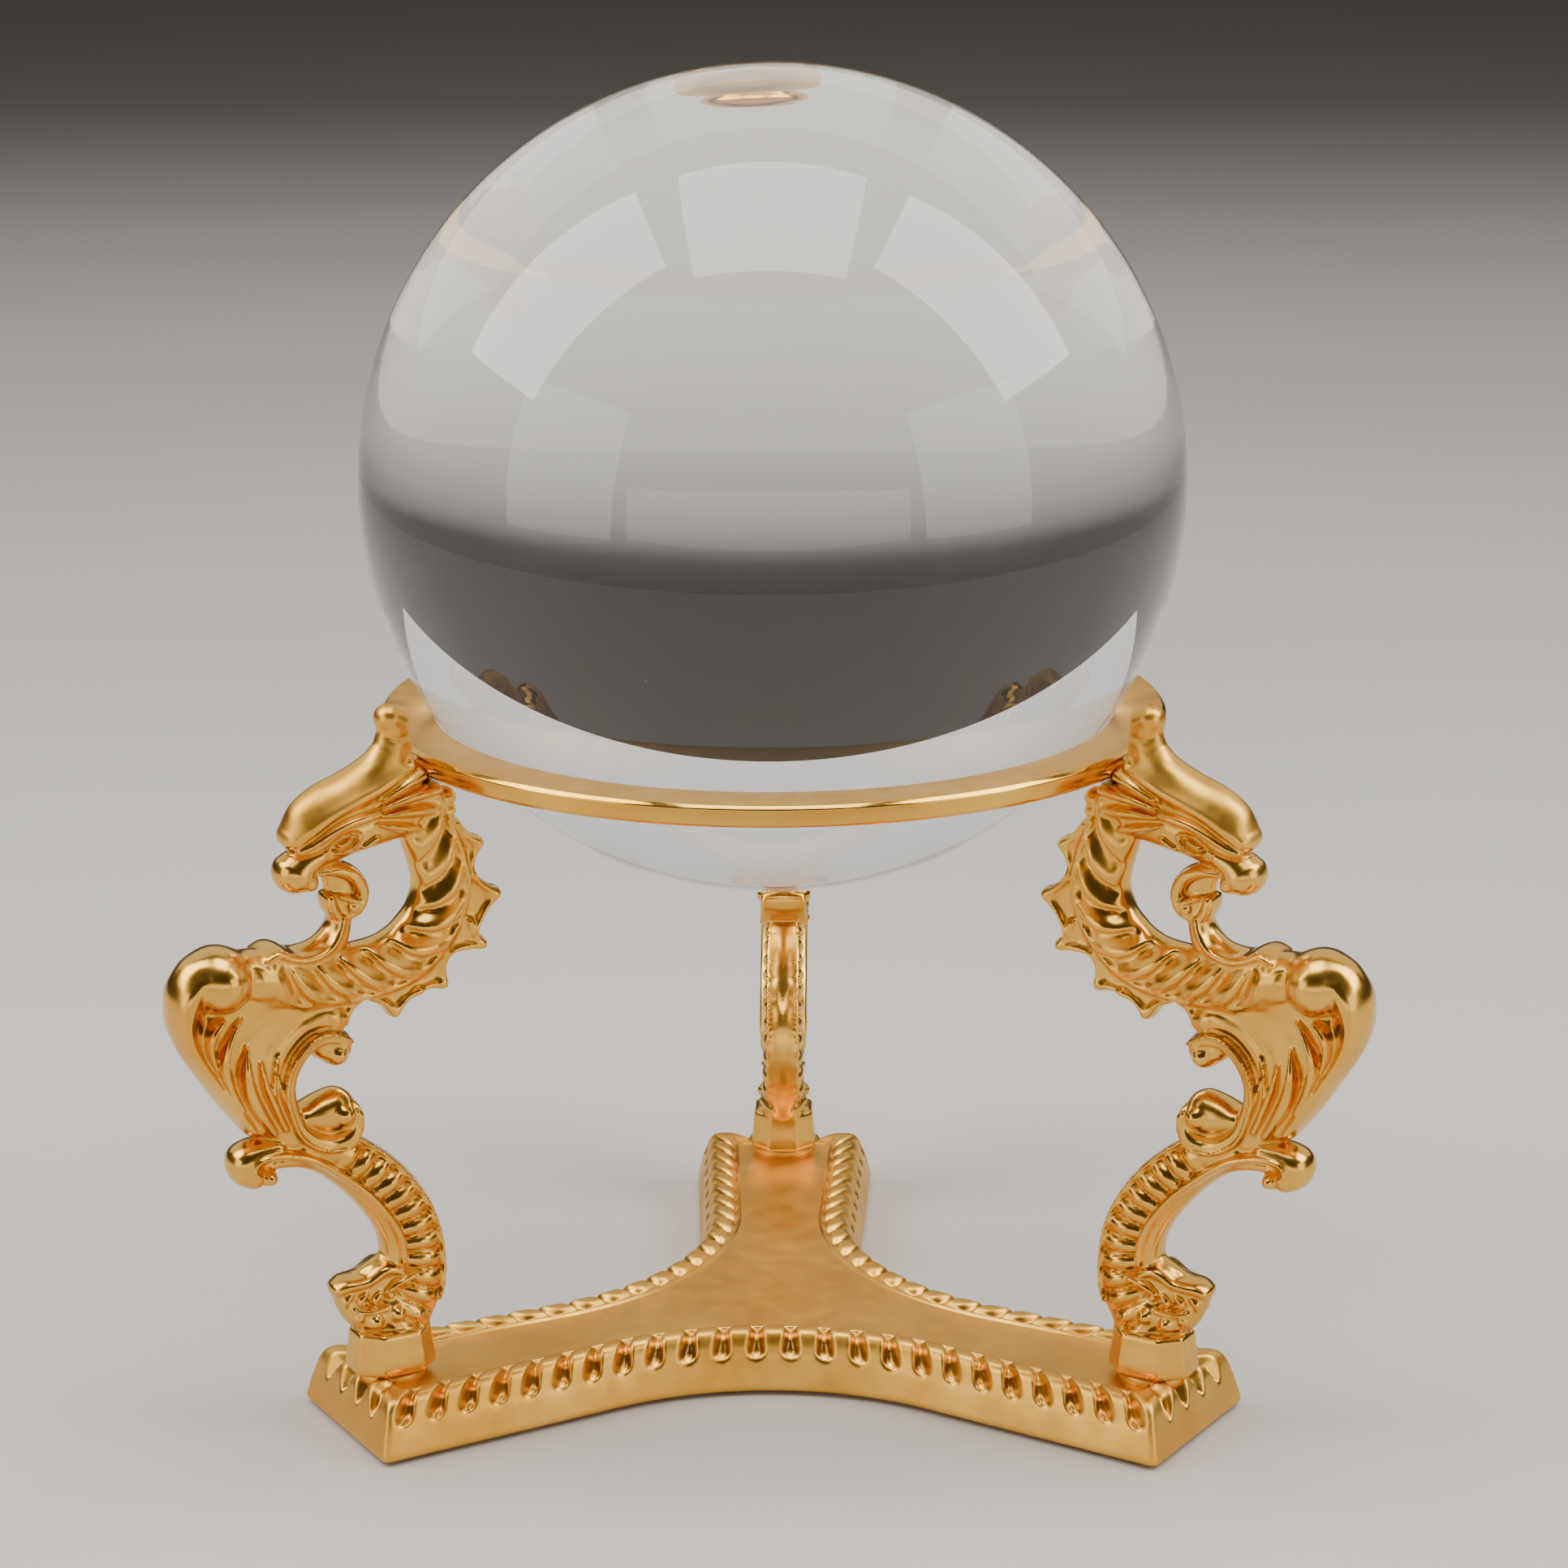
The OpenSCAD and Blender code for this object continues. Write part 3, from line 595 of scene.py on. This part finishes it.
BALLS = [[66.1, 53.6, 1.9, 4], [65.5, 45.2, 2.1, 4.1], [76.1, 38.3, 1.35, 3.9],
         [48.9, 85.6, 1.3, 2.2], [48.8, 83.9, 1.1, 2.2]]
# Saw-tooth spikes down the back of the neck: where each leaves the neck, its tip, and where
# it comes back
SPIKES = [[[47.9, 82], [44.1, 79], [46.2, 74.6]], [[46, 75], [41.7, 71.7], [45.6, 67.2]],
          [[46.4, 68.4], [43.9, 64.7], [50, 64.6]], [[49.8, 64.6], [49.8, 59.9], [54.2, 60]],
          [[54, 60.2], [57.3, 56.9], [60.4, 60]], [[62.4, 60.2], [64.8, 56.9], [66.4, 58.6]]]

SPIKE_WEB = (1.1, 0.3)          # half thickness of a spike's web, and its gap to the edges
FLUTE_PITCH = 4.3               # along the neck
FLUTE_SWEEP = 8.4               # how far along a flute runs as it crosses the neck
FLUTE_DEPTH = 1.05
RIB_PITCH = 2.5                 # along the tail
RIB_DEPTH = 1.15
FOOT_Z = (8.0, 13.9)            # bottom and top of the foot block
FOOT_HALF = (5.2, 4.4)          # its half sizes outwards and across
FOOT_CORNER = 7.1               # out plus across where its corners are cut off
RING_ROOM = (52.85, 89.1)       # radius and underside of the room cut for the ring

CELL = 0.3                      # spacing of the grid that the skin is found on
OUT = np.arange(40.6, 89.4, CELL)
UP = np.arange(7.2, 99.8, CELL)
ACROSS = np.arange(0, 6.3, CELL)


def window(low, high):
    """Index ranges of the grid between two [out, up] corners."""
    cut = []
    for axis, a, b in ((OUT, low[0], high[0]), (UP, low[1], high[1])):
        cut.append(slice(max(int((a - axis[0]) / CELL), 0),
                         min(int((b - axis[0]) / CELL) + 2, len(axis))))
    return tuple(cut)


def nearest_on(line, cut):
    """For each grid point in the window: distance to the line, its half width, its half
    thickness and how far across it lies there, the length along it, and the signed distance
    to the side of it."""
    u = OUT[cut[0]][:, None]
    z = UP[cut[1]][None, :]
    a, b = line[:-1], line[1:]
    best = np.full((u.shape[0], z.shape[1]), 1e9)
    found = [np.zeros_like(best) for _ in range(5)]
    length = 0.0
    for p, q in zip(a, b):
        d = q[:2] - p[:2]
        size = max(np.hypot(*d), 1e-6)
        t = np.clip(((u - p[0]) * d[0] + (z - p[1]) * d[1]) / size ** 2, 0, 1)
        x, y = u - p[0] - t * d[0], z - p[1] - t * d[1]
        far = x * x + y * y
        near = far < best
        best = np.where(near, far, best)
        side = (d[0] * y - d[1] * x) / size
        for i, value in enumerate((p[2] + t * (q[2] - p[2]), p[3] + t * (q[3] - p[3]),
                                   p[4] + t * (q[4] - p[4]), length + t * size, side)):
            found[i] = np.where(near, value, found[i])
        length += size
    return np.sqrt(best), *found


def oval(d, w, t, h):
    """Roughly the distance to an oval tube: d from its centre line in the leg's plane and t
    across it, where its half width is w and its half thickness is h."""
    near = np.sqrt((d / w) ** 2 + (t / h) ** 2) + 1e-9
    slope = np.sqrt((d / w ** 2) ** 2 + (t / h ** 2) ** 2) + 1e-9
    return near * (near - 1) / slope


def blend(a, b, soft):
    """The lesser of two distances, rounded off over the width soft where they cross."""
    k = np.maximum(soft - np.abs(a - b), 0) / soft
    return np.minimum(a, b) - k * k * soft / 4


field = np.full((len(OUT), len(UP), len(ACROSS)), 2.0)
t_grid = ACROSS[None, None, :]


def line_solid(rows, relief=None):
    """The window that a line of modelling reaches, and roughly the distance to it there. A
    fifth number in a row sets the line that far across from the leg's middle plane. relief
    gives a depth to sink the surface by, from the length along the line and the side, as a
    share of the half width."""
    rows = np.asarray(rows, float)
    if rows.shape[1] == 4:
        rows = np.column_stack([rows, np.zeros(len(rows))])
    line = smooth_line(rows)
    reach = line[:, 2].max() + 1.6
    cut = window(line[:, :2].min(0) - reach, line[:, :2].max(0) + reach)
    d, w, h, middle, along, side = nearest_on(line, cut)
    solid = oval(d[..., None], w[..., None], t_grid - middle[..., None], h[..., None])
    if relief is not None:
        solid = solid + relief(along, side / w)[..., None]
    return cut, solid


def lay(rows, soft, relief=None):
    """Adds a line of modelling, blended in over the width soft."""
    cut, solid = line_solid(rows, relief)
    field[cut] = blend(field[cut], solid, soft)


def carve(rows, soft):
    """Takes a line of modelling away."""
    cut, solid = line_solid(rows)
    field[cut] = -blend(-field[cut], solid, soft)


def neck_flutes(along, side):
    """Rope-like flutes: each starts along the spine and sweeps across the neck, a slow rise
    to a sharp ridge and then a steep drop."""
    across = np.clip((1 + side) / 2, 0, 1)
    turn = ((along - FLUTE_SWEEP * across ** 0.6) / FLUTE_PITCH + 0.35) % 1
    rise = step(turn, 0.0, 0.72) * (1 - step(turn, 0.84, 1.0))
    fade = step(across, 0.1, 0.3) * (1 - step(across, 0.74, 0.98)) * (1 - step(along, 38, 42))
    return FLUTE_DEPTH * (1 - rise) * fade


def tail_ribs(along, side):
    """Close cross ribs: pillows with a narrow deep gap between one and the next."""
    turn = ((along + 0.5 * side) / RIB_PITCH) % 1
    rise = np.sin(np.pi * turn) ** 0.55
    fade = step(side, -1, -0.5) * step(along, 4, 8)
    return RIB_DEPTH * (1 - rise) * fade


def spike(start, tip, end):
    """Adds a spike: a thin web inside two straight edges, and a raised rim along them."""
    start, tip, end = (np.array(p, float) for p in (start, tip, end))
    middle = (start + end) / 2
    corners = np.array([start, tip, end, middle + (middle - tip) * 0.4])
    cut = window(corners.min(0) - 1.5, corners.max(0) + 1.5)
    u, z = OUT[cut[0]][:, None], UP[cut[1]][None, :]
    solid = t_grid - SPIKE_WEB[0]
    for base in (start, end):
        run = (base - tip) / np.linalg.norm(base - tip)
        normal = np.array([run[1], -run[0]])
        normal = normal * np.sign(normal @ (tip - middle))
        edge = (u - tip[0]) * normal[0] + (z - tip[1]) * normal[1]
        solid = np.maximum(solid, edge[..., None] + SPIKE_WEB[1])
    inward = (tip - middle) / np.linalg.norm(tip - middle)
    behind = -((u - middle[0]) * inward[0] + (z - middle[1]) * inward[1]) - 1.2
    field[cut] = blend(field[cut], np.maximum(solid, behind[..., None]), 0.8)
    drawn = tip - 0.75 * inward
    for base in (start, end):
        half = (base + drawn) / 2 - 0.35 * inward
        lay([[*base, .6, 2.2], [*half, .55, 1.9], [*drawn, .75, 1.8]], 0.7)


def foot_block():
    """Adds the eight-sided foot: flat sides that flare out below and round under."""
    low, high = FOOT_Z
    cut = window((FOOT_REACH - 8, low - 2), (FOOT_REACH + 8, high + 2))
    u = np.abs(OUT[cut[0]] - FOOT_REACH)[:, None, None]
    z = UP[cut[1]][None, :, None]
    down = (high - z) / (high - low)
    flare = 0.5 * step(down, 0.1, 0.9)
    sides = np.maximum(u - FOOT_HALF[0] - flare, t_grid - FOOT_HALF[1] - 0.8 * flare)
    sides = np.maximum(sides, (u + t_grid - FOOT_CORNER - 1.3 * flare) / np.sqrt(2))
    level = np.maximum(z - high, low - z)
    field[cut] = blend(field[cut], -blend(-sides, -level, 0.8), 0.25)


# The casting's large forms first, then the fine lines that stand on them
for rows in (CHEST, CHEST_FRONT, SHOULDER_ROOT):
    lay(rows, 0.8)
lay(NECK, 0.6, neck_flutes)
lay(TAIL, 0.6, tail_ribs)
for rows in (SHOULDER_LIP, SHOULDER_EDGE, FACE, BROW, CREST, MOUTH, TONGUE, FIN, FIN_ROOT,
             TAIL_UNDER):
    lay(rows, 0.6)
lay(CREST_LIP, 1.4)
lay(KNOB, 0.5)
for start, tip, end in SPIKES:
    spike(start, tip, end)
carve(HORN_DENT, 0.3)
carve(HORN_CREASE, 0.4)
lay(SHOULDER, 0.5)
for rows in (SNOUT, BACK_CURL, SCROLL, LOWER_CURL, UPPER_CURL):
    lay(rows, 0.3)
carve(EYE_SOCKET, 0.3)
for rows in (NOSTRIL, JAW, TAIL_BEAD, TONGUE_BEAD, LID, EYE, JAW_CURL, CHEEK):
    lay(rows, 0.15)
for rows in (SPINE, TAIL_EDGE, SCROLL_RIDGE, PEARLED):
    lay(rows, 0.35)
for group in (MANE, EYE_RIMS, CHIN, LEAVES, FIN_VEINS):
    for rows in group:
        lay(rows, 0.2)
for lump in BALLS + ROOT_LUMPS:
    lay([lump], 0.2)
foot_block()
# The seat for the ring: a shelf under it and an upright step behind its edge
u, z = OUT[:, None, None], UP[None, :, None]
ring_room = np.maximum(np.hypot(u, t_grid) - RING_ROOM[0], RING_ROOM[1] - z)
field = np.maximum(field, -ring_room)


def skin(values, low, cell):
    """The surface where values, on a regular grid, pass through 0. One point goes in each
    cell that the surface crosses, at the mean of its edge crossings, and one quad across each
    grid edge that it crosses. The points then slide onto the surface along its gradient.
    The third result is how far outwards each point's neighbours lie on average, in cells: more
    than 0 in a hollow."""
    inside = values < 0
    size = np.array(values.shape)
    total = np.zeros((*(size - 1), 3))
    count = np.zeros(size - 1)
    quads = []
    index_of = np.full(size - 1, -1)
    crossings = []
    for axis in range(3):
        a = [slice(None)] * 3
        b = [slice(None)] * 3
        a[axis], b[axis] = slice(0, -1), slice(1, None)
        va, vb = values[tuple(a)], values[tuple(b)]
        crosses = inside[tuple(a)] != inside[tuple(b)]
        share = np.where(crosses, va / np.where(crosses, va - vb, 1), 0)
        crossings.append(crosses)
        others = [i for i in range(3) if i != axis]
        for i in (0, 1):
            for j in (0, 1):
                pick = [slice(None)] * 3
                for other, k in zip(others, (i, j)):
                    pick[other] = slice(k, size[other] - 1 + k)
                hit = crosses[tuple(pick)]
                count += hit
                total[..., axis] += share[tuple(pick)]
                for other, k in zip(others, (i, j)):
                    total[..., other] += hit * k
    cells = np.argwhere(count > 0)
    at = tuple(cells.T)
    index_of[at] = np.arange(len(cells))
    points = cells + total[at] / count[at][:, None]
    for axis, crosses in enumerate(crossings):
        p, q = [(1, 2), (2, 0), (0, 1)][axis]
        spots = np.argwhere(crosses)
        spots = spots[(spots[:, p] > 0) & (spots[:, q] > 0)
                      & (spots[:, p] < size[p] - 1) & (spots[:, q] < size[q] - 1)]
        corners = []
        for i, j in ((1, 1), (0, 1), (0, 0), (1, 0)):
            corner = spots.copy()
            corner[:, p] -= i
            corner[:, q] -= j
            corners.append(index_of[tuple(corner.T)])
        quad = np.stack(corners, 1)
        flip = ~inside[tuple(spots.T)]
        quad[flip] = quad[flip][:, ::-1]
        quads.append(quad)
    faces = np.concatenate(quads)
    slopes = [np.gradient(values, axis=i) for i in range(3)]

    def sample(grid, at_points):
        """Values of a grid between its points, worked out in proportion along each axis."""
        base = np.clip(np.floor(at_points).astype(int), 0, size - 2)
        f = at_points - base
        out = 0
        for i in (0, 1):
            for j in (0, 1):
                for k in (0, 1):
                    w = ((f[:, 0] if i else 1 - f[:, 0]) * (f[:, 1] if j else 1 - f[:, 1])
                         * (f[:, 2] if k else 1 - f[:, 2]))
                    out = out + w * grid[base[:, 0] + i, base[:, 1] + j, base[:, 2] + k]
        return out

    pairs = np.concatenate([faces[:, [i, (i + 1) % 4]] for i in range(4)])
    for _ in range(3):
        mean = np.zeros_like(points)
        joined = np.bincount(pairs[:, 0], minlength=len(points)).astype(float)
        for i in range(3):
            mean[:, i] = np.bincount(pairs[:, 0], points[pairs[:, 1], i], len(points)) / joined
        pull = mean - points
        points = points + 0.5 * pull
        slope = np.stack([sample(s, points) for s in slopes], 1)
        hollow = (pull * slope).sum(1) / np.maximum(np.linalg.norm(slope, axis=1), 0.05)
        off = sample(values, points) / np.maximum((slope ** 2).sum(1), 0.05)
        move = np.clip(off[:, None] * slope, -0.7, 0.7)
        points = points - move
    return low + points * cell, faces, hollow


both_sides = np.concatenate([field[:, :, :0:-1], field], 2)
grid_low = np.array([OUT[0], UP[0], -ACROSS[-1]])
skin_points, skin_faces, skin_hollow = skin(both_sides, grid_low, CELL)
# From [out, up, across] to the leg's own frame, where out is +X: across becomes -Y
leg_points = np.stack([skin_points[:, 0], -skin_points[:, 2], skin_points[:, 1] + PAD_T], 1)

leg_gold = gold_plate("gold-plated lost-wax casting, bright", 0.36, 0.21, 0.45, 0.006)
# The smooth horn and helmet, above the line where the mane starts, are left satin
mane_line = 91 - 0.46 * (leg_points[:, 0] - 55)
leg_satin = step(leg_points[:, 2] - mane_line, -0.4, 0.8)
# and so is the bottom of every recess, where no polishing wheel reaches
leg_satin = np.maximum(leg_satin, 0.9 * step(skin_hollow, 0.0, 0.07))
for i, a in enumerate(AZIMUTHS, 1):
    x, y = turned(leg_points[:, 0], leg_points[:, 1], a)
    leg = mesh_object(f"dragon_casting_{i}", np.column_stack([x, y, leg_points[:, 2]]),
                      skin_faces, leg_gold)
    add_satin(leg, leg_satin)
    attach(leg, "stand")
    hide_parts(f"dragon_leg_{i}")

# ---- Ring: a flat turned ring between the three horns ----
# Gold-plated brass, turned: a satin flat top with a bright bevel, and a polished outer wall.
# The inner edge is cut to the ball's own curve, and a pin from each leg goes up into it.

ring_low, ring_high = (corner.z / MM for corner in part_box("support_ring"))
RING_OUTER = 52.8
RING_HOLE = 45.3
BEVEL = 0.5
ball_low, ball_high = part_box("crystal_ball")
ball_z = (ball_low.z + ball_high.z) / 2 / MM
BALL_R = (ball_high.z - ball_low.z) / 2 / MM
SEAT_R = BALL_R + 0.15          # the seat's curve is a little wider than the ball

seat_low = ball_z - math.sqrt(SEAT_R ** 2 - RING_HOLE ** 2)
seat_out = math.sqrt(SEAT_R ** 2 - (ball_z - ring_high) ** 2)


def rounded(corner_points, radius=0.12, turns=5):
    """A closed profile whose corners are each replaced by a small curve."""
    p = np.asarray(corner_points, float)
    before, after = np.roll(p, 1, 0) - p, np.roll(p, -1, 0) - p
    cut_a = p + before * (radius / np.linalg.norm(before, axis=1))[:, None]
    cut_b = p + after * (radius / np.linalg.norm(after, axis=1))[:, None]
    t = np.linspace(0, 1, turns)[None, :, None]
    curve = (cut_a[:, None] * (1 - t) ** 2 + p[:, None] * 2 * t * (1 - t)
             + cut_b[:, None] * t ** 2)
    return curve.reshape(-1, 2)


RING_SIDES = 288
profile = rounded([[RING_HOLE, ring_low], [RING_OUTER - BEVEL, ring_low],
                   [RING_OUTER, ring_low + BEVEL], [RING_OUTER, ring_high - BEVEL],
                   [RING_OUTER - BEVEL, ring_high], [seat_out, ring_high],
                   [RING_HOLE, seat_low]])
ring_points = lathe(profile, RING_SIDES)
ring_faces = grid_faces(len(profile), RING_SIDES)
seam = np.arange(RING_SIDES)
top_row = (len(profile) - 1) * RING_SIDES
after = (seam + 1) % RING_SIDES
ring_faces = np.vstack([ring_faces,
                        np.stack([top_row + seam, top_row + after, after, seam], 1)])
ring_gold = gold_plate("gold-plated turned brass", 0.4, 0.12, 0.5, 0.003)
ring = mesh_object("ring_turning", ring_points, ring_faces, ring_gold)
add_satin(ring, np.repeat((profile[:, 1] > ring_high - 0.02).astype(float), RING_SIDES))
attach(ring, "stand")
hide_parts("support_ring")

# ---- Ball: a solid ball of clear glass ----
# Optical crystal glass, ground and polished all over. It is the one piece that comes off:
# it lies loose in the ring. Clean glass still carries a few specks of dust.

BALL_ROWS, BALL_SIDES = 160, 320
tilt = np.linspace(0, np.pi, BALL_ROWS + 1)[1:-1]
profile = np.stack([BALL_R * np.sin(tilt), ball_z - BALL_R * np.cos(tilt)], 1)
ball_points, ball_faces = close_ends(lathe(profile, BALL_SIDES),
                                     grid_faces(len(profile), BALL_SIDES), BALL_SIDES,
                                     ball_z - BALL_R, ball_z + BALL_R)

# A few dust specks 0.1 mm wide, some 5 mm apart, and the faintest haze from handling
crystal, tree, place = material("polished crystal glass")
dust = node(tree, "ShaderNodeTexVoronoi", {"Scale": 190.0}, Vector=place)
speck = spread(tree, dust.outputs["Distance"], 0.01, 0.02, 1.0, 0.0)
haze = spread(tree, noise(tree, place, 45.0, 3.0), 0.5, 0.8, 0.0, 0.012)
rough = node(tree, "ShaderNodeMath", {"operation": "MULTIPLY_ADD"}, (speck, 0.5, haze))
surface(tree, {"Base Color": linear("fdfefe"), "IOR": 1.52, "Transmission Weight": 1.0},
        Roughness=rough.outputs["Value"])
ball = mesh_object("glass_ball", ball_points, ball_faces, crystal)
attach(ball, "ball")
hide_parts("crystal_ball")
